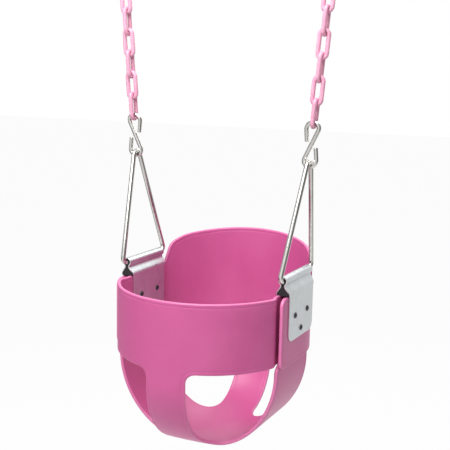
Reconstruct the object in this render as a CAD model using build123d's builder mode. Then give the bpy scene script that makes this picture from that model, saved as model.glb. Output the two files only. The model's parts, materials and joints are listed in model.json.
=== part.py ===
from build123d import *
from math import sin, cos, acos, atan2, radians, degrees
import os

# Toddler bucket swing. Millimetres. +X is the sitting child's left, -Y is the front, +Z is up.
# The origin is midway between the tops of the two upper hooks, on the line that the swing hangs from.

# ---- driving sizes ----
bracketSpacing = 280.0      # between the two pivot bars, left to right
leanAngle = 5.0             # each suspension leans outward from its bar by this many degrees

# moulded seat shell
wall = 6.0                  # thickness of the moulded sheet
layerGap = 0.4              # between two layers of sheet at a bracket
leafGap = 0.2               # between the sheet and a bracket leaf
frontDepth = 176.0          # from the bars to the outside of the front band
backDepth = 172.0           # from the bars to the outside of the back panel
seatDepth = 290.0           # from the bars down to the underside of the base
bandTop = 23.0              # top edge of the front band, below the bars
bandHeight = 110.0
bandEnd = 56.0              # the band's two ends reach this far behind the middle of the bracket
bandEndRadius = 13.0
wingTop = 25.0              # top edge of the back panel's wings, below the bars
wingHeight = 113.0
wingFront = 74.0            # the wings reach this far in front of the middle of the bracket
wingRadius = 13.0
backRise = 39.0             # middle of the back panel's top edge, above the bars
shoulderY = 68.0            # where the wing's top edge starts to climb to the back panel
climbPoints = [(14.0, 0.3), (40.0, 0.62)]    # behind the shoulder, and share of the rise reached there
climbRadii = [12.0, 26.0, 90.0]
crownShare = 1.02           # share of the rise where the climb's last stretch would meet the back
strapFront = 74.0           # side strap's edges, in front of and behind the bracket's middle
strapRear = 56.0
bandBend = 14.0             # the two small bends that bring the band's ends inward, and the first one's turn
bandTurn = 25.0
tabHalf = 50.0              # half width of the strap's upper tab, which the bracket holds
crotchHalf = 33.5           # half width of the strap between the legs
backStrapHalf = 33.0        # half width of the strap at the lower back
openingCorner = 15.0        # upper corners of the four openings
baseCorner = 44.0           # lower corners of the openings, where the straps meet the base
frontBaseRadius = 240.0     # gentle curve of the base towards the front, and how far it turns
frontBaseTurn = 30.0
backBaseRadius = 480.0
backBaseTurn = 12.0

# brackets, liners and rivets
sheet = 1.8                 # bracket steel
rollHalf = 56.0             # half length of the rolled eye
leafHalf = 51.0             # half width of the leaves
leafBottom = 98.0           # lower edge of the leaves, below the bars
leafRadius = 14.0
linerWall = 1.0             # liner between the bar and the rolled eye
linerFit = 0.05
neckHalf = 2.4              # half the inside width of the bracket's neck
neckBottom = 8.5            # where the neck starts to flare, and where the leaves are parallel
flareBottom = 19.0
flareRadius = 1.9
shoulderRise = 4.0          # the eye's slanted shoulders, above and below the bottom of the flare
shoulderDrop = 6.0
linerTop = 2.0              # the liner stops this far above the sheets, and short of the eye's ends
linerShort = 1.0
rivetRows = [(-26.0, -59.0), (26.0, -59.0), (0.0, -84.5)]
rivetShank = 3.0
rivetBore = 1.9
rivetHead = 4.9
rivetHeadHeight = 1.6
rivetRound = 1.1            # rounding of the heads' rims
rivetFit = 0.1

# triangle hangers
rod = 4.0                   # radius of the hanger's round bar
barFit = 0.5                # radial play of the bar in its liner
hangerHalf = 69.0           # half width at the sharp corners of the rod's centre line
hangerHeight = 203.0        # sharp apex above the bar
cornerBend = 8.0
apexBend = 10.0
buttGap = 0.3               # the rod's two ends meet inside the rolled eye

# hooks and chain
wire = 3.5                  # radius of hook wire and of the coated links
play = 0.3                  # slack between two links or hooks
hookSpan = 69.0             # between the centre lines of a hook's two loops
hookHalf = 13.2             # half width at the sharp corners of the hook's centre line
hookBend = 11.2             # bends on the open leg's side and on the diagonal's side
diagonalBend = 8.85
tipX = 7.6                  # end of the open legs, from the hook's middle
tipZ = 3.6
tipChamfer = 0.6
linkPitch = 35.0
linkCount = 7

# ---- derived places ----
halfSpacing = bracketSpacing / 2
strapIn = halfSpacing - wall / 2             # side strap, middle layer
strapOut = halfSpacing + wall / 2
bandOut = strapIn - layerGap                 # band end, inner layer
bandIn = bandOut - wall
wingIn = strapOut + layerGap                 # wing, outer layer
wingOut = wingIn + wall
leafInside = halfSpacing - bandIn + leafGap  # from the bracket's middle plane to a leaf
bandMid = (bandIn + bandOut) / 2
holeRadius = rod + barFit                    # bore of the liner
rollInside = holeRadius + linerWall + linerFit
linkBend = 2 * wire + play                   # a link's end bend is centred on the wire that it holds
linkSpan = linkPitch + linkBend              # between the centre lines of a link's two ends
frontCentre = wingOut - frontDepth           # centres of the round front and back, seen from above
backCentre = backDepth - wingOut
halfApex = atan2(hangerHalf, hangerHeight)
apexHeight = hangerHeight - apexBend * (1 / sin(halfApex) - 1)
hookBottom = apexHeight - (rod + wire + play)
hookTop = hookBottom + hookSpan
chainBottom = hookTop - linkBend
topHookBottom = chainBottom + linkCount * linkPitch
suspension = topHookBottom + hookSpan        # length of the whole leaning line above the bar
barZ = -suspension * cos(radians(leanAngle))


def hook_plane(side, distance):
    """Left to right plane of a hook or of every second link, turned with the leaning line."""
    lean = radians(leanAngle)
    across = (side * cos(lean), 0, -sin(lean))
    place = (side * (halfSpacing + distance * sin(lean)), 0, barZ + distance * cos(lean))
    return Plane(origin=place, x_dir=across, z_dir=(0, -side, 0))


def edge_plane(side, distance):
    """Front to back plane of a hanger or of the other links, turned with the leaning line."""
    lean = radians(leanAngle)
    place = (side * (halfSpacing + distance * sin(lean)), 0, barZ + distance * cos(lean))
    return Plane(origin=place, x_dir=(0, 1, 0), z_dir=(cos(lean), 0, -side * sin(lean)))


def export(piece, name):
    """Label one finished piece and write its file."""
    piece.label = name
    export_step(piece, f"parts/{name}.step")
    print(name, round(piece.volume), len(piece.solids()))


def base_lines(inset):
    """Side view of the shell, front to back, drawn inward of its outer face by the inset."""
    front = frontDepth - inset
    back = backDepth - inset
    low = barZ - seatDepth + inset
    rise = radians(frontBaseTurn)
    climb = radians(backBaseTurn)
    frontCorner = (frontDepth - frontBaseRadius * sin(rise)) / (1 - sin(rise)) - inset
    backCorner = (backDepth - backBaseRadius * sin(climb)) / (1 - sin(climb)) - inset
    toBack = JernArc((0, low), (1, 0), backBaseRadius - inset, backBaseTurn)
    upBack = JernArc(toBack @ 1, toBack % 1, backCorner, 90 - backBaseTurn)
    toFront = JernArc((0, low), (-1, 0), frontBaseRadius - inset, -frontBaseTurn)
    upFront = JernArc(toFront @ 1, toFront % 1, frontCorner, frontBaseTurn - 90)
    Polyline(upBack @ 1, (back, barZ), (-front, barZ), upFront @ 1)


def bowl(inset):
    """The volume inside the shell's lower half: side view, front view and plan, all inset alike."""
    reach = wingOut - inset
    with BuildPart() as volume:
        with BuildSketch(Plane.YZ):
            with BuildLine():
                base_lines(inset)
            make_face()
        extrude(amount=reach, both=True)
        with BuildSketch(Plane.XZ):
            with BuildLine():
                low = barZ - seatDepth + strapOut
                sideR = strapOut - inset
                ThreePointArc((sideR, low), (0, low - sideR), (-sideR, low))
                Polyline((-sideR, low), (-sideR, barZ), (sideR, barZ), (sideR, low))
            make_face()
        extrude(amount=2 * frontDepth, both=True, mode=Mode.INTERSECT)
        with BuildSketch(Plane.XY.offset(barZ - seatDepth)):
            with BuildLine():
                ThreePointArc((-reach, frontCentre), (0, frontCentre - reach), (reach, frontCentre))
                Line((reach, frontCentre), (reach, backCentre))
                ThreePointArc((reach, backCentre), (0, backCentre + reach), (-reach, backCentre))
                Line((-reach, backCentre), (-reach, frontCentre))
            make_face()
        extrude(amount=seatDepth, mode=Mode.INTERSECT)
    return volume.part


# ---- seat shell: one moulded cross of sheet, folded up at four straps ----
os.makedirs("parts", exist_ok=True)
bandLow = barZ - bandTop - bandHeight
wingLow = barZ - wingTop - wingHeight
reachOut = 2 * bracketSpacing

# lower half: base, crotch strap, lower back strap and side straps, cut from a bowl
lowerHalf = bowl(0) - bowl(wall)
with BuildPart() as seatLower:
    add(lowerHalf)
    for front, edgeY, halfX, top in ((-1, strapFront, crotchHalf, bandLow),
                                     (1, strapRear, backStrapHalf, wingLow)):
        for side in (-1, 1):
            # plan view of one opening, with its rounded corner at the base
            with BuildSketch(Plane.XY.offset(barZ - seatDepth - wall)):
                with BuildLine():
                    FilletPolyline((side * halfX, front * reachOut), (side * halfX, front * edgeY),
                                   (side * reachOut, front * edgeY), radius=baseCorner)
                    Polyline((side * reachOut, front * edgeY), (side * reachOut, front * reachOut),
                             (side * halfX, front * reachOut))
                make_face()
            extrude(amount=top - openingCorner - (barZ - seatDepth - wall), mode=Mode.SUBTRACT)
            # front view of its upper end, with its rounded corner under the band or the wing
            with BuildSketch(Plane.XZ.offset(-front * edgeY)):
                with BuildLine():
                    FilletPolyline((side * halfX, top - 2 * openingCorner), (side * halfX, top),
                                   (side * reachOut, top), radius=openingCorner)
                    Polyline((side * reachOut, top), (side * reachOut, top - 2 * openingCorner),
                             (side * halfX, top - 2 * openingCorner))
                make_face()
            extrude(amount=-front * reachOut, mode=Mode.SUBTRACT)
    # nothing of the bowl stays above the band and the wings but the straps' tabs
    lap = openingCorner / 2
    for front, edgeY, top in ((-1, strapFront, bandLow), (1, strapRear, wingLow)):
        with Locations((0, front * (edgeY + reachOut / 2), top + lap + seatDepth / 2)):
            Box(2 * reachOut, reachOut, seatDepth, mode=Mode.SUBTRACT)
    # the straps' upper tabs are narrower, so that they lie clear between the band and the wing
    tabTop = barZ - wingTop
    for front, edgeY in ((-1, strapFront), (1, strapRear)):
        shoulder = edgeY - tabHalf
        with Locations((0, front * (tabHalf + shoulder), wingLow + seatDepth / 2)):
            Box(2 * reachOut, 2 * shoulder, seatDepth, mode=Mode.SUBTRACT)
    with Locations((0, 0, tabTop + seatDepth / 2)):
        Box(2 * reachOut, 2 * reachOut, seatDepth, mode=Mode.SUBTRACT)

# front band: a round wall whose two ends turn in between the brackets' inner leaves and the straps
midRadius = wingOut - wall / 2
bendIn = 2 * bandBend * (1 - cos(radians(bandTurn)))
meetTurn = degrees(acos((bandMid + bendIn - bandBend) / (midRadius - bandBend)))
bendLength = 2 * bandBend * sin(radians(bandTurn)) + bandBend * sin(radians(meetTurn))
straightEnd = frontCentre - midRadius * sin(radians(meetTurn)) + bendLength
with BuildPart() as frontBand:
    with BuildSketch(Plane.XY.offset(bandLow)):
        with BuildLine():
            ends = []
            for side in (-1, 1):
                run = Line((side * bandMid, bandEnd), (side * bandMid, straightEnd))
                outward = JernArc(run @ 1, run % 1, bandBend, side * bandTurn)
                inward = JernArc(outward @ 1, outward % 1, bandBend, -side * (bandTurn + meetTurn))
                ends.append(inward @ 1)
            ThreePointArc(ends[0], (0, frontCentre - midRadius), ends[1])
        trace(line_width=wall)
    extrude(amount=bandHeight)
    fillet(frontBand.edges().filter_by(Axis.X).group_by(Axis.Y)[-1], bandEndRadius)

# back panel: a round wall that ends in two wings outside the straps, with a high top edge
climbLine = [(shoulderY + run, barZ + share * backRise) for run, share in climbPoints]
crown = (backDepth + wall, barZ + crownShare * backRise)
with BuildPart() as backPanel:
    with BuildSketch(Plane.XY.offset(wingLow)):
        with BuildLine():
            ThreePointArc((-midRadius, backCentre), (0, backCentre + midRadius), (midRadius, backCentre))
            for side in (-1, 1):
                Line((side * midRadius, backCentre), (side * midRadius, -wingFront))
        trace(line_width=wall)
    extrude(amount=wingHeight + wingTop + 2 * backRise)
    # side view of the wall: square corners at the front, then the climb to the back
    with BuildSketch(Plane.YZ):
        with BuildLine():
            FilletPolyline((backDepth + wall, wingLow), (-wingFront, wingLow), (-wingFront, barZ - wingTop),
                           (shoulderY, barZ - wingTop), *climbLine, crown,
                           radius=[wingRadius, wingRadius, *climbRadii])
            Line(crown, (backDepth + wall, wingLow))
        make_face()
    extrude(amount=bracketSpacing, both=True, mode=Mode.INTERSECT)

with BuildPart() as seatShell:
    add(seatLower.part)
    add(frontBand.part)
    add(backPanel.part)
    for side in (-1, 1):
        for y, z in rivetRows:
            with Locations(Location((side * halfSpacing, y, barZ + z), (0, 90, 0))):
                Cylinder(rivetShank + rivetFit, 2 * leafInside + wall, mode=Mode.SUBTRACT)
export(seatShell.part, "seat_shell")

# ---- brackets, liners and rivets, one set at each side ----
shoulderLow = barZ - flareBottom - shoulderDrop
shoulderHigh = barZ - flareBottom + shoulderRise
for side, name in ((-1, "left"), (1, "right")):
    middle = Plane(origin=(side * halfSpacing, 0, barZ), x_dir=(1, 0, 0), z_dir=(0, -1, 0))

    # inside of the folded bracket, seen from the front: round eye, neck, flare, parallel leaves
    with BuildSketch(middle) as inside:
        Circle(rollInside)
        with BuildLine():
            Polyline((-neckHalf, 0), (-neckHalf, -neckBottom), (-leafInside, -flareBottom),
                     (-leafInside, -leafBottom - 2 * sheet), (leafInside, -leafBottom - 2 * sheet),
                     (leafInside, -flareBottom), (neckHalf, -neckBottom), (neckHalf, 0), close=True)
        make_face()
        corners = inside.vertices().filter_by_position(Axis.Z, barZ - flareBottom - 1, barZ - 1)
        fillet(corners, flareRadius)
    with BuildPart() as bracket:
        with BuildSketch(middle):
            add(inside.sketch_local)
            offset(amount=sheet)
            add(inside.sketch_local, mode=Mode.SUBTRACT)
        extrude(amount=rollHalf, both=True)
        # side view: a wide eye, then slightly narrower leaves with round lower corners
        with BuildSketch(Plane.YZ.offset(side * halfSpacing)):
            with BuildLine():
                Polyline((leafHalf, shoulderLow), (rollHalf, shoulderHigh),
                         (rollHalf, barZ + 2 * rollInside), (-rollHalf, barZ + 2 * rollInside),
                         (-rollHalf, shoulderHigh), (-leafHalf, shoulderLow))
                FilletPolyline((-leafHalf, shoulderLow), (-leafHalf, barZ - leafBottom),
                               (leafHalf, barZ - leafBottom), (leafHalf, shoulderLow),
                               radius=leafRadius)
            make_face()
        extrude(amount=2 * leafInside, both=True, mode=Mode.INTERSECT)
        for y, z in rivetRows:
            with Locations(Location((side * halfSpacing, y, barZ + z), (0, 90, 0))):
                Cylinder(rivetShank + rivetFit, 4 * leafInside, mode=Mode.SUBTRACT)
    export(bracket.part, f"bracket_{name}")

    # black liner: fills the neck down to the sheets and runs round the hanger's bar
    with BuildPart() as liner:
        with BuildSketch(middle):
            add(inside.sketch_local)
            offset(amount=-linerFit)
            Circle(holeRadius, mode=Mode.SUBTRACT)
            with Locations((0, -wingTop - 2 * leafBottom + linerTop)):
                Rectangle(4 * leafInside, 4 * leafBottom, mode=Mode.SUBTRACT)
        extrude(amount=rollHalf - linerShort, both=True)
    export(liner.part, f"bracket_liner_{name}")

    # hollow rivets through both leaves and the three layers of sheet
    with BuildPart() as rivets:
        grip = leafInside + sheet
        for y, z in rivetRows:
            with Locations(Location((side * halfSpacing, y, barZ + z), (0, 90, 0))):
                Cylinder(rivetShank, 2 * grip)
                for end in (-1, 1):
                    with Locations((0, 0, end * (grip + rivetHeadHeight / 2))):
                        Cylinder(rivetHead, rivetHeadHeight)
        rims = rivets.edges().filter_by(GeomType.CIRCLE)
        outer = rims.filter_by(lambda edge: abs(edge.radius - rivetHead) < 0.01).group_by(Axis.X)
        fillet(outer[0] + outer[-1], rivetRound)
        for y, z in rivetRows:
            with Locations(Location((side * halfSpacing, y, barZ + z), (0, 90, 0))):
                Cylinder(rivetBore, 4 * grip, mode=Mode.SUBTRACT)
    export(rivets.part, f"rivets_{name}")

    # ---- triangle hanger: one round rod bent to a triangle, its ends meeting inside the eye ----
    with BuildPart() as hanger:
        with BuildLine(edge_plane(side, 0)) as rodPath:
            FilletPolyline((buttGap / 2, 0), (hangerHalf, 0), (0, hangerHeight), (-hangerHalf, 0),
                           (-buttGap / 2, 0), radius=[cornerBend, apexBend, cornerBend])
        rodWire = rodPath.wire()
        with BuildSketch(Plane(origin=rodWire @ 0, z_dir=rodWire % 0)):
            Circle(rod)
        sweep(path=rodWire)
    export(hanger.part, f"triangle_hanger_{name}")

    # ---- hooks: one below the chain, and the same one above it ----
    for height, hookName in ((hookBottom, f"s_hook_{name}"), (topHookBottom, f"top_hook_{name}")):
        with BuildPart() as hook:
            with BuildLine(hook_plane(side, height + hookSpan / 2)) as hookPath:
                half = hookSpan / 2
                FilletPolyline((-tipX, tipZ), (-hookHalf, half), (hookHalf, half), (-hookHalf, -half),
                               (hookHalf, -half), (tipX, -tipZ),
                               radius=[hookBend, diagonalBend, diagonalBend, hookBend])
            hookWire = hookPath.wire()
            with BuildSketch(Plane(origin=hookWire @ 0, z_dir=hookWire % 0)):
                Circle(wire)
            sweep(path=hookWire)
            chamfer(hook.faces().filter_by(GeomType.PLANE).edges(), tipChamfer)
        export(hook.part, hookName)

    # ---- chain: straight coated links, numbered from the top, every second one turned ----
    for number in range(1, linkCount + 1):
        bottom = chainBottom + (linkCount - number) * linkPitch
        place = edge_plane if number % 2 else hook_plane
        with BuildPart() as link:
            with BuildLine(place(side, bottom + linkSpan / 2)) as linkPath:
                leg = linkSpan / 2 - linkBend
                Line((linkBend, -leg), (linkBend, leg))
                ThreePointArc((linkBend, leg), (0, leg + linkBend), (-linkBend, leg))
                Line((-linkBend, leg), (-linkBend, -leg))
                ThreePointArc((-linkBend, -leg), (0, -leg - linkBend), (linkBend, -leg))
            linkWire = linkPath.wire()
            with BuildSketch(Plane(origin=linkWire @ 0, z_dir=linkWire % 0)):
                Circle(wire)
            sweep(path=linkWire)
        export(link.part, f"chain_link_{name}_{number}")
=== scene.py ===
import json
import math
import bpy
import numpy as np
from mathutils import Matrix, Vector
from mathutils.geometry import delaunay_2d_cdt


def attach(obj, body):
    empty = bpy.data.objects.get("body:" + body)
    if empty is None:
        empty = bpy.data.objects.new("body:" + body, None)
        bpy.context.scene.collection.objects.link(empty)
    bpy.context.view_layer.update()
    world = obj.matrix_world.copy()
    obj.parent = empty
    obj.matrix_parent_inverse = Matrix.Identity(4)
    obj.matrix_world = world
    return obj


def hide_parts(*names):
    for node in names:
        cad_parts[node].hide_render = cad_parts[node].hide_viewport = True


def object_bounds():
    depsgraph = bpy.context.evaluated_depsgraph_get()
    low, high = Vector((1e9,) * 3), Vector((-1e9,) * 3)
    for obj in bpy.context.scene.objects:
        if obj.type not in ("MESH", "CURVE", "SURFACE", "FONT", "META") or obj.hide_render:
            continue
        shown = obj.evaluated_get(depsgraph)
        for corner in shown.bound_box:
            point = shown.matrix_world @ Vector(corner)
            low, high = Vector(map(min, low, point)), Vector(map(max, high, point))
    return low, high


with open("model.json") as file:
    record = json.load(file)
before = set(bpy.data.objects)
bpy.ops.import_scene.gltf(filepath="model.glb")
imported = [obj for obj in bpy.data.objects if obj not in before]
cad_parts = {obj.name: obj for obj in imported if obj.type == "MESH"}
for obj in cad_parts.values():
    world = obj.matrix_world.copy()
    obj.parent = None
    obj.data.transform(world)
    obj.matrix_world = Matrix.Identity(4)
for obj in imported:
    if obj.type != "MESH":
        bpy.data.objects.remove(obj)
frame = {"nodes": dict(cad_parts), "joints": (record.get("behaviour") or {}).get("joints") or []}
cadBox = [list(corner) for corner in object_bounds()]

# places that everything hangs from, in millimetres: the meshes are worked out in millimetres and scaled
# once
mm = 0.001
pivots = {joint["name"]: np.array(joint["pos_m"]) / mm for joint in frame["joints"]}
barHeight = pivots["seat_level"][2]
barSide = -pivots["seat_level"][0]
lean = math.atan2(pivots["right_hanger_lean"][0] - barSide, pivots["right_hanger_lean"][2] - barHeight)


# camera, light, floor and backdrop
view = {"azimuth": 25.6, "elevation": 9.6, "roll": 1.17, "distance": 1500, "lens": 73.3,
        "target": (13.1, 0, 68.6)}       # measured from the middle between the two bars
studio = {"worldLight": 0.42, "floorDrop": 420, "floorColour": (0.86, 0.86, 0.86, 1), "floorShare": 0.95,
          "darkSide": 0.20, "darkFrom": 0.50,
          "darkTo": 0.88}      # shiny metal sees dark flanks at the far left and right
lamps = [
    # name, from the seat's middle, width, height, watts
    ("keyLamp", (-150, -1500, 1400), 1300, 900, 21),
    ("sideLamp", (-1800, -300, 500), 700, 1200, 2.5),
    ("backLamp", (300, 1700, 1300), 1400, 700, 10),
    ("topLamp", (60, -560, 1250), 800, 700, 16)]


def makeCamera():
    # back points from the target to the camera; right and up are turned by the roll about it
    a, e, r = (math.radians(view[key]) for key in ("azimuth", "elevation", "roll"))
    back = Vector((math.sin(a) * math.cos(e), -math.cos(a) * math.cos(e), math.sin(e)))
    right = Vector((math.cos(a), math.sin(a), 0))
    up = back.cross(right)
    rolledRight = right * math.cos(r) + up * math.sin(r)
    rolledUp = up * math.cos(r) - right * math.sin(r)
    camera = bpy.data.objects.new("camera", bpy.data.cameras.new("camera"))
    bpy.context.scene.collection.objects.link(camera)
    camera.data.sensor_width = 36
    camera.data.lens = view["lens"]
    place = (Vector((0, 0, barHeight)) + Vector(view["target"]) + back * view["distance"]) * mm
    turned = Matrix((rolledRight, rolledUp, back)).transposed().to_4x4()
    camera.matrix_world = Matrix.Translation(place) @ turned
    camera.data.clip_start, camera.data.clip_end = 0.05, 60
    bpy.context.scene.camera = camera


def makeLights():
    middle = Vector((0, 0, barHeight - 60)) * mm
    for name, place, width, height, watts in lamps:
        data = bpy.data.lights.new(name, "AREA")
        data.shape, data.size, data.size_y, data.energy = "RECTANGLE", width * mm, height * mm, watts
        lamp = bpy.data.objects.new(name, data)
        bpy.context.scene.collection.objects.link(lamp)
        lamp.location = middle + Vector(place) * mm
        lamp.rotation_euler = (-Vector(place)).to_track_quat("-Z", "Y").to_euler()


def isSeenRay(tree):
    # 1 for camera, glossy and transmission rays, so that metal shows the same background as the camera
    path = tree.nodes.new("ShaderNodeLightPath")
    either = tree.nodes.new("ShaderNodeMath"); either.operation = "MAXIMUM"
    any3 = tree.nodes.new("ShaderNodeMath"); any3.operation = "MAXIMUM"
    tree.links.new(path.outputs["Is Camera Ray"], either.inputs[0])
    tree.links.new(path.outputs["Is Glossy Ray"], either.inputs[1])
    tree.links.new(either.outputs[0], any3.inputs[0])
    tree.links.new(path.outputs["Is Transmission Ray"], any3.inputs[1])
    return any3.outputs[0]


def flankLight(tree, direction):
    # strength is 1 in front and behind and falls smoothly to darkSide where the direction points left or
    # right,
    # by the size of the X of its unit vector; camera rays always get 1
    unit = tree.nodes.new("ShaderNodeVectorMath"); unit.operation = "NORMALIZE"
    split = tree.nodes.new("ShaderNodeSeparateXYZ")
    across = tree.nodes.new("ShaderNodeMath"); across.operation = "ABSOLUTE"
    ramp = tree.nodes.new("ShaderNodeMapRange"); ramp.interpolation_type = "SMOOTHSTEP"
    for socket, value in (("From Min", studio["darkFrom"]), ("From Max", studio["darkTo"]),
                          ("To Min", 1.0), ("To Max", studio["darkSide"])):
        ramp.inputs[socket].default_value = value
    path = tree.nodes.new("ShaderNodeLightPath")
    kept = tree.nodes.new("ShaderNodeMath"); kept.operation = "MAXIMUM"
    tree.links.new(direction, unit.inputs[0])
    tree.links.new(unit.outputs[0], split.inputs[0])
    tree.links.new(split.outputs["X"], across.inputs[0])
    tree.links.new(across.outputs[0], ramp.inputs["Value"])
    tree.links.new(ramp.outputs[0], kept.inputs[0])
    tree.links.new(path.outputs["Is Camera Ray"], kept.inputs[1])
    return kept.outputs[0]


def makeSurroundings():
    world = bpy.data.worlds.new("studio")
    bpy.context.scene.world = world
    world.use_nodes = True
    tree = world.node_tree
    tree.nodes.clear()
    out = tree.nodes.new("ShaderNodeOutputWorld")
    soft, seen = (tree.nodes.new("ShaderNodeBackground") for _ in range(2))
    for node, strength in ((soft, studio["worldLight"]), (seen, 1)):
        node.inputs["Color"].default_value = (1, 1, 1, 1)
        node.inputs["Strength"].default_value = strength
    direction = tree.nodes.new("ShaderNodeTexCoord")
    tree.links.new(flankLight(tree, direction.outputs["Generated"]), seen.inputs["Strength"])
    mix = tree.nodes.new("ShaderNodeMixShader")
    tree.links.new(isSeenRay(tree), mix.inputs[0])
    tree.links.new(soft.outputs[0], mix.inputs[1])
    tree.links.new(seen.outputs[0], mix.inputs[2])
    tree.links.new(mix.outputs[0], out.inputs[0])

    floorMaterial = bpy.data.materials.new("paleFloor")
    floorMaterial.use_nodes = True
    tree = floorMaterial.node_tree
    tree.nodes.clear()
    out = tree.nodes.new("ShaderNodeOutputMaterial")
    paint = tree.nodes.new("ShaderNodeBsdfDiffuse")
    paint.inputs["Color"].default_value = studio["floorColour"]
    glow = tree.nodes.new("ShaderNodeEmission")
    place = tree.nodes.new("ShaderNodeTexCoord")
    tree.links.new(flankLight(tree, place.outputs["Object"]), glow.inputs["Strength"])
    share = tree.nodes.new("ShaderNodeMath"); share.operation = "MULTIPLY"
    share.inputs[1].default_value = studio["floorShare"]
    mix = tree.nodes.new("ShaderNodeMixShader")
    tree.links.new(isSeenRay(tree), share.inputs[0])
    tree.links.new(share.outputs[0], mix.inputs[0])
    tree.links.new(paint.outputs[0], mix.inputs[1])
    tree.links.new(glow.outputs[0], mix.inputs[2])
    tree.links.new(mix.outputs[0], out.inputs[0])
    size, height = 14, cadBox[0][2] - studio["floorDrop"] * mm
    mesh = bpy.data.meshes.new("floor")
    mesh.from_pydata([(-size, -size, height), (size, -size, height), (size, size, height),
                      (-size, size, height)],
                     [], [(0, 1, 2, 3)])
    floor = bpy.data.objects.new("floor", mesh)
    mesh.materials.append(floorMaterial)
    bpy.context.scene.collection.objects.link(floor)


makeCamera()
makeLights()
makeSurroundings()
bpy.context.scene.view_settings.view_transform = "Standard"
print("camera, lamps and floor are set")


# shader groups that several materials share
def newGroup(name, inputs, outputs):
    group = bpy.data.node_groups.new(name, "ShaderNodeTree")
    for label, kind, value in inputs:
        socket = group.interface.new_socket(label, in_out="INPUT", socket_type=kind)
        if value is not None:
            socket.default_value = value
    for label, kind in outputs:
        group.interface.new_socket(label, in_out="OUTPUT", socket_type=kind)
    return group, group.nodes.new("NodeGroupInput"), group.nodes.new("NodeGroupOutput")


def addNode(tree, kind, values=None, **settings):
    node = tree.nodes.new(kind)
    for key, value in settings.items():
        setattr(node, key, value)
    for key, value in (values or {}).items():
        node.inputs[key].default_value = value
    return node


def makeGrainGroup():
    # fine grain is noise at the given scale plus a weaker one four times finer; cloud is a wide slow noise
    # from 0 to 1
    group, given, out = newGroup("fineGrain",
                                 [("Place", "NodeSocketVector", None), ("Scale", "NodeSocketFloat", 900.0),
                                              ("CloudScale", "NodeSocketFloat", 14.0)],
                                 [("Height", "NodeSocketFloat"), ("Cloud", "NodeSocketFloat")])
    coarse = addNode(group, "ShaderNodeTexNoise", {"Detail": 3.0, "Roughness": 0.6})
    fine = addNode(group, "ShaderNodeTexNoise", {"Detail": 1.0})
    cloud = addNode(group, "ShaderNodeTexNoise", {"Detail": 4.0, "Roughness": 0.55, "Distortion": 0.6})
    finer = addNode(group, "ShaderNodeMath", {1: 4.0}, operation="MULTIPLY")
    add = addNode(group, "ShaderNodeMath", {1: 0.35}, operation="MULTIPLY_ADD")
    ramp = addNode(group, "ShaderNodeMapRange", {"From Min": 0.3, "From Max": 0.7})
    for node in (coarse, fine, cloud):
        group.links.new(given.outputs["Place"], node.inputs["Vector"])
    group.links.new(given.outputs["Scale"], coarse.inputs["Scale"])
    group.links.new(given.outputs["Scale"], finer.inputs[0])
    group.links.new(finer.outputs[0], fine.inputs["Scale"])
    group.links.new(given.outputs["CloudScale"], cloud.inputs["Scale"])
    group.links.new(fine.outputs["Fac"], add.inputs[0])
    group.links.new(coarse.outputs["Fac"], add.inputs[2])
    group.links.new(add.outputs[0], out.inputs["Height"])
    group.links.new(cloud.outputs["Fac"], ramp.inputs["Value"])
    group.links.new(ramp.outputs[0], out.inputs["Cloud"])
    return group


def makeEdgeHighlightGroup():
    # painted highlight: mask is 1 at the very edge and falls to 0 over Width, broken up a little by noise;
    # it lightens the colour along the edge
    group, given, out = newGroup("paintedEdgeHighlight",
                                 [("Place", "NodeSocketVector", None),
                                  ("EdgeDistance", "NodeSocketFloat", 1.0),
                                            ("Width", "NodeSocketFloat", 0.002),
                                  ("Breakup", "NodeSocketFloat", 0.3)],
                                 [("Mask", "NodeSocketFloat")])
    noise = addNode(group, "ShaderNodeTexNoise", {"Scale": 120.0, "Detail": 3.0})
    ratio = addNode(group, "ShaderNodeMath", operation="DIVIDE")
    away = addNode(group, "ShaderNodeMath", {0: 1.0}, operation="SUBTRACT", use_clamp=True)
    curve = addNode(group, "ShaderNodeMath", {1: 1.6}, operation="POWER")
    broken = addNode(group, "ShaderNodeMath", operation="MULTIPLY")
    kept = addNode(group, "ShaderNodeMath", {0: 1.0}, operation="SUBTRACT")
    final = addNode(group, "ShaderNodeMath", operation="MULTIPLY", use_clamp=True)
    group.links.new(given.outputs["Place"], noise.inputs["Vector"])
    group.links.new(given.outputs["EdgeDistance"], ratio.inputs[0])
    group.links.new(given.outputs["Width"], ratio.inputs[1])
    group.links.new(ratio.outputs[0], away.inputs[1])
    group.links.new(away.outputs[0], curve.inputs[0])
    group.links.new(noise.outputs["Fac"], broken.inputs[0])
    group.links.new(given.outputs["Breakup"], broken.inputs[1])
    group.links.new(broken.outputs[0], kept.inputs[1])
    group.links.new(curve.outputs[0], final.inputs[0])
    group.links.new(kept.outputs[0], final.inputs[1])
    group.links.new(final.outputs[0], out.inputs["Mask"])
    return group


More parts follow.
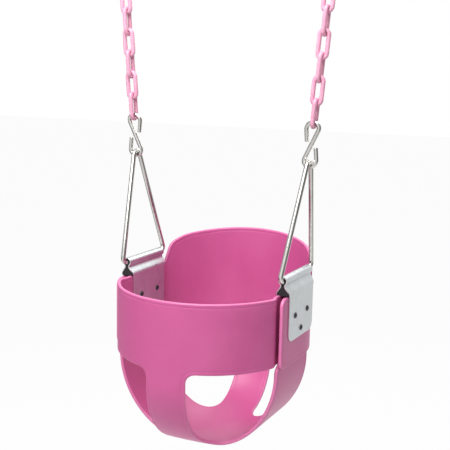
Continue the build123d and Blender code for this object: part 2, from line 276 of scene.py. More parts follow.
def makeScuffGroup():
    # long thin scratches: noise stretched along one direction, kept only where it peaks
    group, given, out = newGroup("fineScratches",
                                 [("Place", "NodeSocketVector", None),
                                  ("Stretch", "NodeSocketVector", (1, 1, 1)),
                                                  ("Amount", "NodeSocketFloat", 0.5)],
                                 [("Mask", "NodeSocketFloat")])
    mapping = addNode(group, "ShaderNodeVectorMath", operation="MULTIPLY")
    noise = addNode(group, "ShaderNodeTexNoise", {"Scale": 60.0, "Detail": 5.0, "Roughness": 0.7})
    peak = addNode(group, "ShaderNodeMapRange", {"From Min": 0.42, "From Max": 0.75})
    scaled = addNode(group, "ShaderNodeMath", operation="MULTIPLY", use_clamp=True)
    group.links.new(given.outputs["Place"], mapping.inputs[0])
    group.links.new(given.outputs["Stretch"], mapping.inputs[1])
    group.links.new(mapping.outputs[0], noise.inputs["Vector"])
    group.links.new(noise.outputs["Fac"], peak.inputs["Value"])
    group.links.new(peak.outputs[0], scaled.inputs[0])
    group.links.new(given.outputs["Amount"], scaled.inputs[1])
    group.links.new(scaled.outputs[0], out.inputs["Mask"])
    return group


grainGroup, edgeHighlightGroup, scuffGroup = makeGrainGroup(), makeEdgeHighlightGroup(), makeScuffGroup()


# materials: roughness runs between its two values with the cloud noise
finishes = {
    "mouldedPink": {"colour": (0.540, 0.082, 0.262, 1), "cloudColour": (0.600, 0.106, 0.302, 1),
                    # lighter colour at the edge: painted highlight along the sheet's rounded edge
                    "edgeHighlightColour": (0.740, 0.200, 0.420, 1),
                    "rough": (0.36, 0.46), "grain": 1400.0, "bump": 0.06, "edgeHighlightWidth": 0.0026},
    "coatedPink": {"colour": (0.700, 0.300, 0.430, 1), "cloudColour": (0.760, 0.370, 0.500, 1),
                   "rough": (0.34, 0.48), "grain": 500.0, "bump": 0.05},
    "zincSheet": {"colour": (0.500, 0.525, 0.535, 1), "cloudColour": (0.600, 0.625, 0.635, 1),
                  # lighter colour at the edge: painted highlight along the bracket sheet's edges
                  "edgeHighlightColour": (0.8, 0.8, 0.8, 1),
                  "rough": (0.26, 0.34), "grain": 900.0, "bump": 0.012, "edgeHighlightWidth": 0.0012},
    "brightRod": {"colour": (0.560, 0.545, 0.520, 1), "cloudColour": (0.700, 0.690, 0.665, 1),
                  "rough": (0.11, 0.19), "grain": 700.0, "bump": 0.008},
    "rivetSteel": {"colour": (0.045, 0.045, 0.050, 1), "cloudColour": (0.120, 0.120, 0.125, 1),
                   "rough": (0.25, 0.40), "grain": 900.0, "bump": 0.05},
    # near-black: partly the liner's own black, partly painted shade of the deep fold between the bracket's
    # leaves
    "blackLinerAndFoldShade": {"colour": (0.010, 0.010, 0.011, 1), "cloudColour": (0.022, 0.022, 0.024, 1),
                   "rough": (0.45, 0.62), "grain": 1200.0, "bump": 0.08}}


def makeMaterial(name, metallic=0.0, stretch=(1, 1, 1), scratches=0.0, coat=0.0, specular=0.5,
                 cloudScale=14.0):
    look = finishes[name]
    material = bpy.data.materials.new(name)
    material.use_nodes = True
    tree = material.node_tree
    shader = tree.nodes["Principled BSDF"]
    shader.inputs["Metallic"].default_value = metallic
    shader.inputs["Specular IOR Level"].default_value = specular
    shader.inputs["Coat Weight"].default_value = coat
    place = addNode(tree, "ShaderNodeTexCoord")
    grain = addNode(tree, "ShaderNodeGroup", node_tree=grainGroup)
    grain.inputs["Scale"].default_value = look["grain"]
    grain.inputs["CloudScale"].default_value = cloudScale
    tree.links.new(place.outputs["Object"], grain.inputs["Place"])
    tint = addNode(tree, "ShaderNodeMix", data_type="RGBA")
    tint.inputs[6].default_value, tint.inputs[7].default_value = look["colour"], look["cloudColour"]
    tree.links.new(grain.outputs["Cloud"], tint.inputs[0])
    colour = tint.outputs[2]
    rough = addNode(tree, "ShaderNodeMapRange", {"To Min": look["rough"][0], "To Max": look["rough"][1]})
    tree.links.new(grain.outputs["Cloud"], rough.inputs["Value"])
    roughness = rough.outputs[0]
    # the sheets' colour is lightened towards their edge: a painted highlight where the rounded edge catches
    # light
    if "edgeHighlightColour" in look:      # only the sheets carry the distance to their edge
        edge = addNode(tree, "ShaderNodeAttribute", attribute_name="edgeDistance")
        rim = addNode(tree, "ShaderNodeGroup", node_tree=edgeHighlightGroup)
        rim.inputs["Width"].default_value = look["edgeHighlightWidth"]
        tree.links.new(place.outputs["Object"], rim.inputs["Place"])
        tree.links.new(edge.outputs["Fac"], rim.inputs["EdgeDistance"])
        edgeHighlightMix = addNode(tree, "ShaderNodeMix", data_type="RGBA")
        edgeHighlightMix.inputs[7].default_value = look["edgeHighlightColour"]
        tree.links.new(rim.outputs["Mask"], edgeHighlightMix.inputs[0])
        tree.links.new(colour, edgeHighlightMix.inputs[6])
        colour = edgeHighlightMix.outputs[2]
    if scratches:
        scuff = addNode(tree, "ShaderNodeGroup", node_tree=scuffGroup)
        scuff.inputs["Stretch"].default_value = stretch
        scuff.inputs["Amount"].default_value = scratches
        tree.links.new(place.outputs["Object"], scuff.inputs["Place"])
        added = addNode(tree, "ShaderNodeMath", operation="ADD", use_clamp=True)
        tree.links.new(roughness, added.inputs[0])
        tree.links.new(scuff.outputs["Mask"], added.inputs[1])
        roughness = added.outputs[0]
    bump = addNode(tree, "ShaderNodeBump", {"Strength": look["bump"], "Distance": 0.0004})
    tree.links.new(grain.outputs["Height"], bump.inputs["Height"])
    tree.links.new(bump.outputs[0], shader.inputs["Normal"])
    tree.links.new(colour, shader.inputs["Base Color"])
    tree.links.new(roughness, shader.inputs["Roughness"])
    return material


mouldedPink = makeMaterial("mouldedPink", specular=0.62, cloudScale=9.0)
coatedPink = makeMaterial("coatedPink", specular=0.5, coat=0.15, cloudScale=60.0)
zincSheet = makeMaterial("zincSheet", metallic=0.85, stretch=(6, 1, 14), scratches=0.05, cloudScale=40.0)
brightRod = makeMaterial("brightRod", metallic=1.0, stretch=(20, 20, 2), scratches=0.03, cloudScale=25.0)
rivetSteel = makeMaterial("rivetSteel", metallic=0.9, scratches=0.1, cloudScale=200.0)
blackLinerAndFoldShade = makeMaterial("blackLinerAndFoldShade", specular=0.4, cloudScale=90.0)
print("materials are made")


# mesh helpers
def addPiece(name, points, faces, material, body, nodes, extra=None, flat=None):
    # points are in millimetres in the CAD's frame; extra is a per-vertex distance in metres, flat a
    # per-vertex map in metres
    mesh = bpy.data.meshes.new(name)
    mesh.from_pydata((points * mm).tolist(), [], faces)
    mesh.materials.append(material)
    mesh.polygons.foreach_set("use_smooth", np.ones(len(mesh.polygons), bool))
    if extra is not None:
        layer = mesh.attributes.new("edgeDistance", "FLOAT", "POINT")
        layer.data.foreach_set("value", extra.astype(np.float32))
    if flat is not None:
        corners = np.zeros(len(mesh.loops), np.int32)
        mesh.loops.foreach_get("vertex_index", corners)
        mesh.uv_layers.new(name="flatMap").data.foreach_set("uv", flat[corners].astype(np.float32).ravel())
    mesh.update()
    piece = bpy.data.objects.new(name, mesh)
    bpy.context.scene.collection.objects.link(piece)
    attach(piece, body)
    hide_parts(*nodes)
    return piece


def roundedLine(corners, radii, run, turn=9.0, closed=False):
    # straight runs whose corners are arcs tangent to both runs: an arc starts radius / tan(half the
    # corner) from the corner
    # and its centre lies radius / sin(half) along the bisector
    corners = [np.array(corner, float) for corner in corners]
    count = len(corners)
    pieces = []
    for index, corner in enumerate(corners):
        if not closed and index in (0, count - 1):
            pieces.append(corner[None]); continue
        before = corners[index - 1] - corner
        after = corners[(index + 1) % count] - corner
        before, after = before / np.linalg.norm(before), after / np.linalg.norm(after)
        half = math.acos(np.clip(before @ after, -1, 1)) / 2
        radius = radii[index if closed else index - 1]
        bisector = (before + after) / np.linalg.norm(before + after)
        sideways = (after - before) / np.linalg.norm(after - before)
        centre = corner + bisector * radius / math.sin(half)
        reach = math.pi / 2 - half
        angles = np.linspace(-reach, reach, max(3, int(math.degrees(2 * reach) / turn) + 2))[:, None]
        pieces.append(centre + radius * (-np.cos(angles) * bisector + np.sin(angles) * sideways))
    # fill the straight runs with evenly spaced points
    filled = []
    for index, arc in enumerate(pieces):
        filled.append(arc)
        if index == len(pieces) - 1 and not closed:
            break
        start, end = arc[-1], pieces[(index + 1) % len(pieces)][0]
        steps = int(np.linalg.norm(end - start) / run) + 1
        share = np.linspace(0, 1, steps + 1)[1:-1, None]
        filled.append(start + (end - start) * share)
    return np.concatenate(filled)


def tubeAlong(path, planeNormal, radius, sides, closed=False):
    # point(i, j) = path(i) + radius(i) * (cos(angle j) * across(i) + sin(angle j) * plane normal), across
    # = tangent x plane normal
    path = np.asarray(path, float)
    if closed:
        tangent = np.roll(path, -1, 0) - np.roll(path, 1, 0)
    else:
        tangent = np.gradient(path, axis=0)
        tangent[0], tangent[-1] = tangent[1] if np.allclose(path[0], path[1]) else tangent[0], \
            tangent[-2] if np.allclose(path[-1], path[-2]) else tangent[-1]
    tangent /= np.linalg.norm(tangent, axis=1)[:, None]
    across = np.cross(tangent, planeNormal)
    radius = np.broadcast_to(radius, (len(path),))
    angle = np.linspace(0, 2 * math.pi, sides, endpoint=False)
    grid = (path[:, None] + (radius[:, None, None] * (np.cos(angle)[None, :, None] * across[:, None]
            + np.sin(angle)[None, :, None] * np.asarray(planeNormal)[None, None])))
    count = len(path)
    row = np.arange(count if closed else count - 1)
    i, j = np.meshgrid(row, np.arange(sides), indexing="ij")
    nextI, nextJ = (i + 1) % count, (j + 1) % sides
    quads = np.stack([i * sides + j, nextI * sides + j, nextI * sides + nextJ, i * sides + nextJ],
                     -1).reshape(-1, 4)
    points, faces = grid.reshape(-1, 3), quads.tolist()
    if not closed:
        faces.append(list(range(sides)))
        faces.append(list(range((count - 1) * sides, count * sides))[::-1])
    return points, faces


def blunted(path, radius, chamfer):
    # two more rings at each end: the end face is smaller by the chamfer, which then opens over the same
    # length
    path = np.asarray(path, float)
    first, last = path[0] - path[1], path[-1] - path[-2]
    first, last = first / np.linalg.norm(first), last / np.linalg.norm(last)
    inner = path[1:-1]
    rings = np.concatenate([[path[0]], [path[0] - first * chamfer * 0.35], [path[0] - first * chamfer],
                            inner,
                            [path[-1] - last * chamfer], [path[-1] - last * chamfer * 0.35], [path[-1]]])
    sizes = np.full(len(rings), float(radius))
    sizes[[0, -1]] -= chamfer
    sizes[[1, -2]] -= chamfer * 0.35
    return rings, sizes


def insideLoop(points, loop):
    # even-odd rule, for all points against all the loop's edges at once
    ax, ay = loop[:, 0][None], loop[:, 1][None]
    bx, by = np.roll(loop[:, 0], -1)[None], np.roll(loop[:, 1], -1)[None]
    px, py = points[:, 0][:, None], points[:, 1][:, None]
    crosses = (ay > py) != (by > py)
    where = ax + (py - ay) * (bx - ax) / np.where(by == ay, 1e-12, by - ay)
    return (np.sum(crosses & (px < where), 1) % 2).astype(bool)


def nearestDistance(points, loop):
    # distance to the loop's points, in blocks so that the arrays stay small
    found = [np.sqrt(((block[:, None] - loop[None]) ** 2).sum(-1).min(1))
             for block in np.array_split(points, max(1, len(points) // 2000))]
    return np.concatenate(found)


def foldedSheet(loops, shapes, place, spacing):
    # A flat outline with holes, folded up by place(flat) and given thickness.
    # Each loop gets rings inside it: a ring lies d from the loop and is t off the middle surface, by that
    # loop's shape [(d, t), ...].
    # point = place(flat) +- t * normal, normal = d place / d first x d place / d second
    flats, halves, depths, rings = [], [], [], []
    start = 0
    for loop, shape in zip(loops, shapes):
        ahead = np.roll(loop, -1, 0) - np.roll(loop, 1, 0)
        ahead /= np.linalg.norm(ahead, axis=1)[:, None]
        inward = np.stack([-ahead[:, 1], ahead[:, 0]], 1)
        indices = []
        for d, t in shape:
            flats.append(loop + inward * d)
            halves.append(np.full(len(loop), t))
            depths.append(np.full(len(loop), d))
            indices.append(np.arange(start, start + len(loop)))
            start += len(loop)
        rings.append(indices)
    flat = np.concatenate(flats)
    innerLoops = [flat[indices[-1]] for indices in rings]
    low, high = innerLoops[0].min(0), innerLoops[0].max(0)
    gx, gy = np.meshgrid(np.arange(low[0], high[0], spacing), np.arange(low[1], high[1], spacing),
                         indexing="ij")
    grid = np.stack([gx.ravel(), gy.ravel()], 1)
    keep = insideLoop(grid, innerLoops[0])
    for hole in innerLoops[1:]:
        keep &= ~insideLoop(grid, hole)
    grid = grid[keep]
    grid = grid[nearestDistance(grid, np.concatenate(innerLoops)) > 0.7 * spacing]
    full = np.concatenate([flat, grid])
    half = np.concatenate(halves + [np.full(len(grid), shapes[0][-1][1])])
    depth = np.concatenate(depths + [np.full(len(grid), shapes[0][-1][0])])

    # triangles between the innermost rings, through the grid's points
    known = np.concatenate([indices[-1] for indices in rings] + [np.arange(len(flat), len(full))])
    edges, offset = [], 0
    for indices in rings:
        count = len(indices[-1])
        here = np.arange(count)
        edges += (np.stack([here, (here + 1) % count], 1) + offset).tolist()
        offset += count
    made = delaunay_2d_cdt([Vector(p) for p in full[known].tolist()], edges, [], 0, 1e-6)
    source = np.array([known[ids[0]] if ids else -1 for ids in made[3]])
    triangles = source[np.array(made[2])]
    triangles = triangles[(triangles >= 0).all(1)]
    middle = full[triangles].mean(1)
    keep = insideLoop(middle, innerLoops[0])
    for hole in innerLoops[1:]:
        keep &= ~insideLoop(middle, hole)
    triangles = triangles[keep]
    a, b, c = full[triangles[:, 0]], full[triangles[:, 1]], full[triangles[:, 2]]
    turn = (b[:, 0] - a[:, 0]) * (c[:, 1] - a[:, 1]) - (b[:, 1] - a[:, 1]) * (c[:, 0] - a[:, 0])
    triangles[turn < 0] = triangles[turn < 0][:, ::-1]

    # fold, then go half the thickness to each side
    step = 0.02
    along = place(full + (step, 0)) - place(full - (step, 0))
    across = place(full + (0, step)) - place(full - (0, step))
    normal = np.cross(along, across)
    normal /= np.linalg.norm(normal, axis=1)[:, None]
    points = place(full)
    count = len(full)
    both = np.concatenate([points + normal * half[:, None], points - normal * half[:, None]])
    quads = []
    for indices in rings:
        for outer, inner in zip(indices[:-1], indices[1:]):
            quads.append(np.stack([outer, np.roll(outer, -1), np.roll(inner, -1), inner], 1))
    quads = np.concatenate(quads)
    edge = np.concatenate([np.stack([i[0] + count, np.roll(i[0], -1) + count, np.roll(i[0], -1), i[0]],
                                    1) for i in rings])
    faces = (quads.tolist() + (quads[:, ::-1] + count).tolist() + edge.tolist()
             + triangles.tolist() + (triangles[:, ::-1] + count).tolist())
    return both, faces, np.concatenate([depth, depth]) * mm, np.concatenate([full, full]) * mm


def rimShape(half, radius, steps, last):
    # quarter round: d = radius * (1 - cos a), t = half - radius + radius * sin a
    angle = np.linspace(0, math.pi / 2, steps)
    shape = list(zip(radius * (1 - np.cos(angle)), half - radius + radius * np.sin(angle)))
    return shape + [(last, half)]


def circleLoop(centre, radius, count):
    # clockwise, so that the material lies to its left
    angle = -np.linspace(0, 2 * math.pi, count, endpoint=False)
    return np.stack([centre[0] + radius * np.cos(angle), centre[1] + radius * np.sin(angle)], 1)


# seat shell, sizes in millimetres and heights measured down from the bars
seat = {"half": 3.0, "frontDepth": 176.0, "backDepth": 172.0, "depth": 290.0, "strapX": 140.0,
        "bandX": 133.6, "wingX": 146.4,
        "frontRadius": 240.0, "frontTurn": 30.0, "backRadius": 480.0, "backTurn": 12.0, "bandBend": 14.0,
        "bandTurn": 25.0,
        "bandTop": 23.0, "bandLow": 133.0, "bandEnd": 56.0, "wingTop": 25.0, "wingLow": 138.0,
        "wingFront": 74.0,
        "endRadius": 13.0, "shoulderY": 68.0, "climb": [(82.0, 11.7), (108.0, 24.2), (178.0, 39.8)],
        "climbRadii": [12, 26, 90],
        "strapFront": 74.0, "strapRear": 56.0, "tabHalf": 50.0, "crotchHalf": 33.7, "backStrapHalf": 33.2,
        "openingCorner": 15.0, "baseCorner": 44.0, "rivetHole": 3.1, "rimRadius": 2.3,
        "grooveIn": 4.7, "grooveOut": 7.4, "grooveDeep": 0.38, "spacing": 5.0,
        "uprightFrom": 72, "uprightTo": 200,
        # the walls turn upright between these distances from the lowest point
        "tabFront": (122, 139), "tabRear": (126, 134), "tabRadius": 14, "tabTopRadius": 12}
rivetRows = [(-26.0, -59.0), (26.0, -59.0), (0.0, -84.5)]


def sideProfile(depth, radius, turn):
    # middle surface's side view from the lowest point: an arc of the base, a tighter arc, then straight up;
    # returned as distance along, outward reach and height over the lowest point
    turn = math.radians(turn)
    corner = (depth - radius * math.sin(turn)) / (1 - math.sin(turn)) - seat["half"]
    base = radius - seat["half"]
    a = np.linspace(0, turn, 60)
    b = np.linspace(turn, math.pi / 2, 120)[1:]
    reach = np.concatenate([base * np.sin(a), (base - corner) * math.sin(turn) + corner * np.sin(b)])
    height = np.concatenate([base * (1 - np.cos(a)),
                             base - (base - corner) * math.cos(turn) - corner * np.cos(b)])
    reach, height = np.append(reach, reach[-1]), np.append(height, height[-1] + 400)
    along = np.concatenate([[0], np.cumsum(np.hypot(np.diff(reach), np.diff(height)))])
    return along, reach, height


def planPath(side):
    # plan view of the middle surface from its middle outward: the band (-1) turns in by two bends, the
    # wing (+1) runs straight on
    radius = seat["wingX"]
    if side > 0:
        centreY = seat["backDepth"] - seat["half"] - radius
        a = np.linspace(0, math.pi / 2, 200)
        x, y = radius * np.sin(a), centreY + radius * np.cos(a)
        x, y = np.append(x, radius), np.append(y, -seat["wingFront"] - 60)
    else:
        centreY = radius + seat["half"] - seat["frontDepth"]
        bend, turnIn = seat["bandBend"], math.radians(seat["bandTurn"])
        meet = math.acos((seat["bandX"] + 2 * bend * (1 - math.cos(turnIn)) - bend) / (radius - bend))
        a = np.linspace(0, math.pi / 2 - meet, 200)
        x, y = radius * np.sin(a), centreY - radius * np.cos(a)
        # heading is the angle from +Y towards +X; it goes past straight back by turnIn, then returns
        heading = np.concatenate([np.linspace(meet, -turnIn, 60), np.linspace(-turnIn, 0, 30)[1:]])
        ds = bend * np.abs(np.diff(heading))
        middle = (heading[1:] + heading[:-1]) / 2
        x = np.concatenate([x, x[-1] + np.cumsum(ds * np.sin(middle))])
        y = np.concatenate([y, y[-1] + np.cumsum(ds * np.cos(middle))])
        x, y = np.append(x, x[-1]), np.append(y, seat["bandEnd"] + 60)
    along = np.concatenate([[0], np.cumsum(np.hypot(np.diff(x), np.diff(y)))])
    return along, x, y


frontSide, backSide = (sideProfile(seat["frontDepth"], seat["frontRadius"], seat["frontTurn"]),
                       sideProfile(seat["backDepth"], seat["backRadius"], seat["backTurn"]))
bandPlan, wingPlan = planPath(-1), planPath(1)
lowest = barHeight - seat["depth"] + seat["half"]


def smoothStep(value, low, high):
    # 3 t^2 - 2 t^3
    t = np.clip((value - low) / (high - low), 0, 1)
    return t * t * (3 - 2 * t)


def placeSeat(flat):
    # flat = (across, along), both measured on the middle surface from the lowest point; along < 0 is the
    # front.
    # base and side straps: x follows a U, height is the smooth greater of the U's height and the side
    # profile's.
    # band and back panel: x and the setback follow the plan path; upright is 0 on the base and 1 on the
    # upright walls
    across, along = flat[:, 0], flat[:, 1]
    front = along < 0
    far = np.abs(along)
    reach = np.where(front, np.interp(far, frontSide[0], frontSide[1]),
                     np.interp(far, backSide[0], backSide[1]))
    climb = np.where(front, np.interp(far, frontSide[0], frontSide[2]),
                     np.interp(far, backSide[0], backSide[2]))
    steepFront, steepBack = (np.interp(far, (s[0][1:] + s[0][:-1]) / 2,
                                       np.arctan2(np.diff(s[2]), np.diff(s[1])))
                             for s in (frontSide, backSide))
    steep = np.where(front, steepFront, steepBack)
    upright = smoothStep(far, seat["uprightFrom"], seat["uprightTo"])
    width = np.abs(across)
    u = seat["strapX"]
    quarter = u * math.pi / 2
    angle = np.minimum(width, quarter) / u
    strapX, strapRise = u * np.sin(angle), u * (1 - np.cos(angle)) + np.maximum(width - quarter, 0)
    planX = np.where(front, np.interp(width, bandPlan[0], bandPlan[1]),
                     np.interp(width, wingPlan[0], wingPlan[1]))
    setback = np.where(front, np.interp(width, bandPlan[0], bandPlan[2]) - bandPlan[2][0],
                       wingPlan[2][0] - np.interp(width, wingPlan[0], wingPlan[2]))
    greater = (strapRise ** 3 + climb ** 3 + 1e-9) ** (1 / 3)
    x = np.sign(across) * ((1 - upright) * strapX + upright * planX)
    out = reach - upright * np.sin(steep) * setback
    z = lowest + climb + upright * np.cos(steep) * setback + (1 - upright) * (greater - climb)
    return np.stack([x, np.where(front, -out, out), z], 1)


def seatOutline():
    # right half of the flat cross from the band's top to the back panel's top, then the left half mirrored
    s = seat
    bottomTo = lambda profile, drop: np.interp(s["depth"] - s["half"] - drop, profile[2], profile[0])
    bandTop, bandLow = -bottomTo(frontSide, s["bandTop"]), -bottomTo(frontSide, s["bandLow"])
    wingLow = bottomTo(backSide, s["wingLow"])
    wingBase = bottomTo(backSide, 0)
    bandEnd = bandPlan[0][-1] - 60
    wingEnd = wingPlan[0][-1] - 60
    strapFront = -np.interp(s["strapFront"], frontSide[1], frontSide[0])
    strapRear = np.interp(s["strapRear"], backSide[1], backSide[0])
    quarter = s["strapX"] * math.pi / 2
    strapAt = lambda drop: quarter + s["depth"] - s["half"] - s["strapX"] - drop
    tab = s["tabHalf"]
    front = [(0, bandTop), (bandEnd, bandTop), (bandEnd, bandLow), (s["crotchHalf"], bandLow),
             (s["crotchHalf"], strapFront),
             (strapAt(s["tabFront"][1]), strapFront), (strapAt(s["tabFront"][0]), -tab),
             (strapAt(s["wingTop"]), -tab), (strapAt(s["wingTop"]), tab),
             (strapAt(s["tabRear"][0]), tab), (strapAt(s["tabRear"][1]), strapRear),
             (s["backStrapHalf"], strapRear), (s["backStrapHalf"], wingLow),
             (wingEnd, wingLow), (wingEnd, wingBase - s["wingTop"])]
    side, top = s["tabRadius"], s["tabTopRadius"]
    radii = [s["endRadius"], s["endRadius"], s["openingCorner"], s["baseCorner"], side, side, top, top,
             side, side,
             s["baseCorner"], s["openingCorner"], s["endRadius"], s["endRadius"]]
    # the wing's top edge, then the climb as a side view (y, height), brought onto the plan path
    climb = roundedLine([(-20, -s["wingTop"]), (s["shoulderY"], -s["wingTop"])] + s["climb"],
                        s["climbRadii"], 4.0, 4.0)
    backY, order = wingPlan[2][::-1], wingPlan[0][::-1]
    climb = climb[climb[:, 0] < wingPlan[2][0] - 0.05]
    acrossAt = np.interp(climb[:, 0], backY, order)
    heights = climb[:, 1]
    topS = np.concatenate([acrossAt, [0]])
    crown = np.interp(wingPlan[2][0], [point[0] for point in s["climb"]],
                      [point[1] for point in s["climb"]])
    topW = wingBase + np.concatenate([heights, [crown]])
    # even spacing along the climb
    dense = np.stack([topS, topW], 1)
    length = np.concatenate([[0], np.cumsum(np.linalg.norm(np.diff(dense, axis=0), axis=1))])
    even = np.arange(0, length[-1], 3.0)
    dense = np.stack([np.interp(even, length, dense[:, 0]), np.interp(even, length, dense[:, 1])], 1)
    lower = roundedLine(front + [dense[0]], radii, 4.0)
    half = np.concatenate([lower, dense[1:]])
    mirrored = half[::-1] * (-1, 1)
    loop = np.concatenate([half, [(0, topW[-1])], mirrored[:-1]])
    holes = []
    for hand in (-1, 1):
        for y, z in rivetRows:
            bandS = bandEnd - (s["bandEnd"] - y)
            wingS = np.interp(y, backY, order)
            profile = frontSide if y < 0 else backSide
            alongStrap = math.copysign(np.interp(abs(y), profile[1], profile[0]), y)
            holes += [(hand * bandS, -bottomTo(frontSide, -z)), (hand * wingS, bottomTo(backSide, -z)),
                      (hand * strapAt(-z), alongStrap)]
    return loop, holes


def makeSeat():
    outline, holes = seatOutline()
    half, radius = seat["half"], seat["rimRadius"]
    deep, start, end = seat["grooveDeep"], seat["grooveIn"], seat["grooveOut"]
    shape = rimShape(half, radius, 6, start)
    # shallow groove inside the rim: t = half - deep * sin^2(pi * share)
    groove = np.linspace(0, 1, 6)[1:]
    shape += [(start + (end - start) * g, half - deep * math.sin(math.pi * g) ** 2) for g in groove]
    shape += [(end + 1.2, half)]
    holeShape = [(0.0, half - 0.2), (0.2, half), (0.9, half)]
    loops = [outline] + [circleLoop(hole, seat["rivetHole"], 16) for hole in holes]
    points, faces, depth, flat = foldedSheet(loops, [shape] + [holeShape] * len(holes), placeSeat,
                                             seat["spacing"])
    depth = np.where(depth < 0.00001, 0.0, depth)
    addPiece("moulded_seat", points, faces, mouldedPink, "seat", ["seat_shell"], extra=depth,
             flat=flat)
    print("seat shell", len(points), "points", len(faces), "faces")


makeSeat()


# brackets and rivets; the liners keep the CAD's own shape
bracket = {"half": 0.9, "eyeRadius": 6.45, "neckHalf": 3.3, "neckBottom": 9.0, "flareBottom": 19.4,
           "leafX": 10.5, "leafLow": 98.0,
           "rollHalf": 56.0, "leafHalf": 51.0, "leafRadius": 14.0, "shoulderLow": 25.0,
           "shoulderHigh": 14.0, "rimRadius": 0.55,
           "spacing": 2.6}
rivet = {"shank": 3.0, "bore": 1.9, "head": 4.9, "grip": 11.4, "headHeight": 1.6, "sides": 36}


def foldProfile():
    # half the fold from the leaf's lower edge up: leaf, flare, neck, then the eye's circle to its top;
    # smoothed by a moving mean
    b = bracket
    neckZ = -math.sqrt(b["eyeRadius"] ** 2 - b["neckHalf"] ** 2)
    leaf = roundedLine([(-b["leafX"], -b["leafLow"]), (-b["leafX"], -b["flareBottom"]),
                        (-b["neckHalf"], -b["neckBottom"]),
                        (-b["neckHalf"], neckZ)], [2.6, 1.6], 0.5, 6.0)
    angle = np.linspace(math.atan2(neckZ, -b["neckHalf"]) % (2 * math.pi), math.pi / 2, 60)[1:]
    half = np.concatenate([leaf, b["eyeRadius"] * np.stack([np.cos(angle), np.sin(angle)], 1)])
    full = np.concatenate([half, half[::-1][1:] * (-1, 1)])
    length = np.concatenate([[0], np.cumsum(np.linalg.norm(np.diff(full, axis=0), axis=1))])
    even = np.linspace(0, length[-1], int(length[-1] / 0.3))
    full = np.stack([np.interp(even, length, full[:, k]) for k in (0, 1)], 1)
    smooth = np.stack([np.convolve(full[:, k], np.ones(5) / 5, "same") for k in (0, 1)], 1)
    full[5:-5] = smooth[5:-5]
    length = np.concatenate([[0], np.cumsum(np.linalg.norm(np.diff(full, axis=0), axis=1))])
    return length, full


def makeBracket(side, name):
    b = bracket
    length, profile = foldProfile()
    total = length[-1]

    def place(flat):
        # x and height from the fold's profile, depth straight from the flat sheet
        u = flat[:, 0]
        x = np.interp(u, length, profile[:, 0])
        z = np.interp(u, length, profile[:, 1])
        return np.stack([side * (barSide + x), flat[:, 1], barHeight + z], 1)
    low, high = b["leafLow"] - b["shoulderLow"], b["leafLow"] - b["shoulderHigh"] + 2.5
    corners = [(0, -b["leafHalf"]), (low, -b["leafHalf"]), (high, -b["rollHalf"]),
               (total - high, -b["rollHalf"]),
               (total - low, -b["leafHalf"]), (total, -b["leafHalf"]), (total, b["leafHalf"]),
               (total - low, b["leafHalf"]),
               (total - high, b["rollHalf"]), (high, b["rollHalf"]), (low, b["leafHalf"]),
               (0, b["leafHalf"])]
    r = b["leafRadius"]
    outline = roundedLine(corners, [r, 5, 5, 5, 5, r, r, 5, 5, 5, 5, r], 1.2, 8.0, closed=True)
    holes = [(u, y) for y, z in rivetRows for u in (b["leafLow"] + z, total - b["leafLow"] - z)]
    loops = [outline] + [circleLoop(hole, rivet["shank"] + 0.1, 20) for hole in holes]
    holeShape = [(0.0, b["half"] - 0.15), (0.15, b["half"]), (0.8, b["half"])]
    points, faces, depth, flat = foldedSheet(loops,
                                             [rimShape(b["half"], b["rimRadius"], 4,
                                                       1.3)] + [holeShape] * len(holes),
                                             place, b["spacing"])
    addPiece(f"folded_bracket_{name}", points, faces, zincSheet, "seat", [f"bracket_{name}"],
             extra=depth, flat=flat)


def makeRivets(side, name):
    # one rivet is a closed outline of (radius, distance along) turned about the sideways axis
    r = rivet
    end, top = r["grip"], r["grip"] + r["headHeight"]
    rightHalf = [(r["shank"], end - 0.6), (r["shank"], end), (r["head"] - 0.15, end),
                 (r["head"], end + 0.2), (r["head"] - 0.1, end + 0.6),
                 (r["head"] - 0.55, end + 1.2), (r["head"] - 1.2, top - 0.05), (r["bore"] + 1.1, top),
                 (r["bore"] + 0.35, top - 0.35),
                 (r["bore"], top - 1.0), (r["bore"], end - 1)]
    outline = np.array(rightHalf + [(radius, -along) for radius, along in rightHalf[::-1]])
    angle = np.linspace(0, 2 * math.pi, r["sides"], endpoint=False)
    rows, count = len(outline), r["sides"]
    i, j = np.meshgrid(np.arange(rows), np.arange(count), indexing="ij")
    quads = np.stack([i * count + j, i * count + (j + 1) % count,
                      ((i + 1) % rows) * count + (j + 1) % count, ((i + 1) % rows) * count + j],
                     -1).reshape(-1, 4)
    points, faces = [], []
    for y, z in rivetRows:
        ring = np.stack([np.broadcast_to(outline[:, 1:2], (rows, count)), outline[:, 0:1] * np.cos(angle),
                         outline[:, 0:1] * np.sin(angle)], -1).reshape(-1, 3)
        faces += (quads + len(points) * rows * count).tolist()
        points.append(ring + (side * barSide, y, barHeight + z))
    addPiece(f"hollow_rivets_{name}", np.concatenate(points), faces, rivetSteel, "seat",
             [f"rivets_{name}"])


# hangers, hooks and chain
hanger = {"half": 69.0, "height": 203.0, "radius": 4.0, "cornerBend": 8.0, "apexBend": 10.0, "butt": 0.15,
          "sides": 40}
hook = {"span": 69.0, "half": 13.2, "bend": 11.2, "diagonalBend": 8.85, "tip": (7.6, 3.6), "radius": 3.5,
        "chamfer": 0.6,
        "play": 0.3, "sides": 36}
link = {"count": 7, "pitch": 35.0, "bend": 7.3, "radius": 3.5, "sides": 28}


def leaningLine(side):
    # direction of the leaning line and the point on it that lies a distance above the bar
    along = np.array([side * math.sin(lean), 0, math.cos(lean)])
    return along, lambda distance: np.array([side * barSide, 0, barHeight]) + distance * along


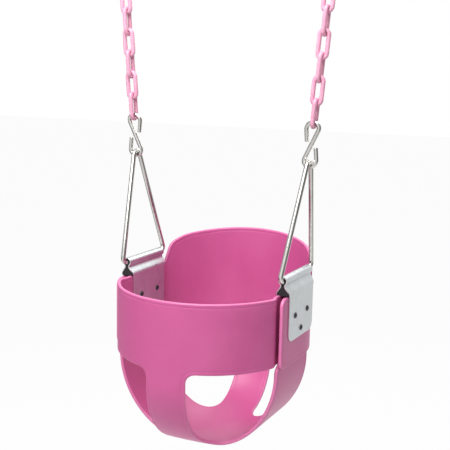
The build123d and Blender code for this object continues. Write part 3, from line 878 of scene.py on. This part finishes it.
def makeHanger(side, name):
    along, at = leaningLine(side)
    h = hanger
    corners = [(h["butt"], 0), (h["half"], 0), (0, h["height"]), (-h["half"], 0), (-h["butt"], 0)]
    flat = roundedLine(corners, [h["cornerBend"], h["apexBend"], h["cornerBend"]], 3.0, 5.0)
    path = at(0) + flat[:, :1] * np.array([0, 1, 0]) + flat[:, 1:] * along
    rings, sizes = blunted(path, h["radius"], 0.25)
    points, faces = tubeAlong(rings, np.cross([0, 1, 0], along), sizes, h["sides"])
    addPiece(f"rod_hanger_{name}", points, faces, brightRod, f"{name}_hanger",
             [f"triangle_hanger_{name}"])


def makeHook(side, name, kind, bottom, body):
    along, at = leaningLine(side)
    across = np.array([side * math.cos(lean), 0, -math.sin(lean)])
    h = hook
    half, (tipX, tipZ) = h["span"] / 2, h["tip"]
    corners = [(-tipX, tipZ), (-h["half"], half), (h["half"], half), (-h["half"], -half),
               (h["half"], -half), (tipX, -tipZ)]
    flat = roundedLine(corners, [h["bend"], h["diagonalBend"], h["diagonalBend"], h["bend"]], 2.0, 5.0)
    path = at(bottom + half) + flat[:, :1] * across + flat[:, 1:] * along
    rings, sizes = blunted(path, h["radius"], h["chamfer"])
    points, faces = tubeAlong(rings, np.cross(across, along), sizes, h["sides"])
    addPiece(f"wire_{kind}_{name}", points, faces, brightRod, body, [f"{kind}_{name}"])


def makeLink(side, name, number, chainBottom):
    along, at = leaningLine(side)
    k = link
    across = np.array([0, 1.0, 0]) if number % 2 else np.array([side * math.cos(lean), 0, -math.sin(lean)])
    span = k["pitch"] + k["bend"]
    leg = span / 2 - k["bend"]
    middle = at(chainBottom + (k["count"] - number) * k["pitch"] + span / 2)
    turn = np.linspace(0, math.pi, 20)
    leftLeg, rightLeg = np.linspace(-leg, leg, 9)[1:-1], np.linspace(leg, -leg, 9)[1:-1]
    flat = np.concatenate([np.stack([k["bend"] * np.cos(turn), leg + k["bend"] * np.sin(turn)], 1),
                           np.stack([np.full(7, -k["bend"]), rightLeg], 1),
                           np.stack([-k["bend"] * np.cos(turn), -leg - k["bend"] * np.sin(turn)], 1),
                           np.stack([np.full(7, k["bend"]), leftLeg], 1)])
    path = middle + flat[:, :1] * across + flat[:, 1:] * along
    points, faces = tubeAlong(path, np.cross(across, along), k["radius"], k["sides"], closed=True)
    addPiece(f"coated_link_{name}_{number}", points, faces, coatedPink, f"{name}_link_{number}",
             [f"chain_link_{name}_{number}"])


for side, name in ((-1, "left"), (1, "right")):
    makeBracket(side, name)
    makeRivets(side, name)
    # the near-black liner stands partly for a black plastic part and partly for painted shade inside the
    # bracket's fold
    liner = frame["nodes"][f"bracket_liner_{name}"]
    liner.data.materials.clear()
    liner.data.materials.append(blackLinerAndFoldShade)
    apex = np.linalg.norm(pivots[f"{name}_hanger_lean"] - np.array([side * barSide, 0, barHeight]))
    hookBottom = apex - (hanger["radius"] + hook["radius"] + hook["play"])
    chainBottom = hookBottom + hook["span"] - link["bend"]
    makeHanger(side, name)
    makeHook(side, name, "s_hook", hookBottom, f"{name}_hook")
    makeHook(side, name, "top_hook", chainBottom + link["count"] * link["pitch"], "root")
    for number in range(1, link["count"] + 1):
        makeLink(side, name, number, chainBottom)
    print("hardware on the", name)
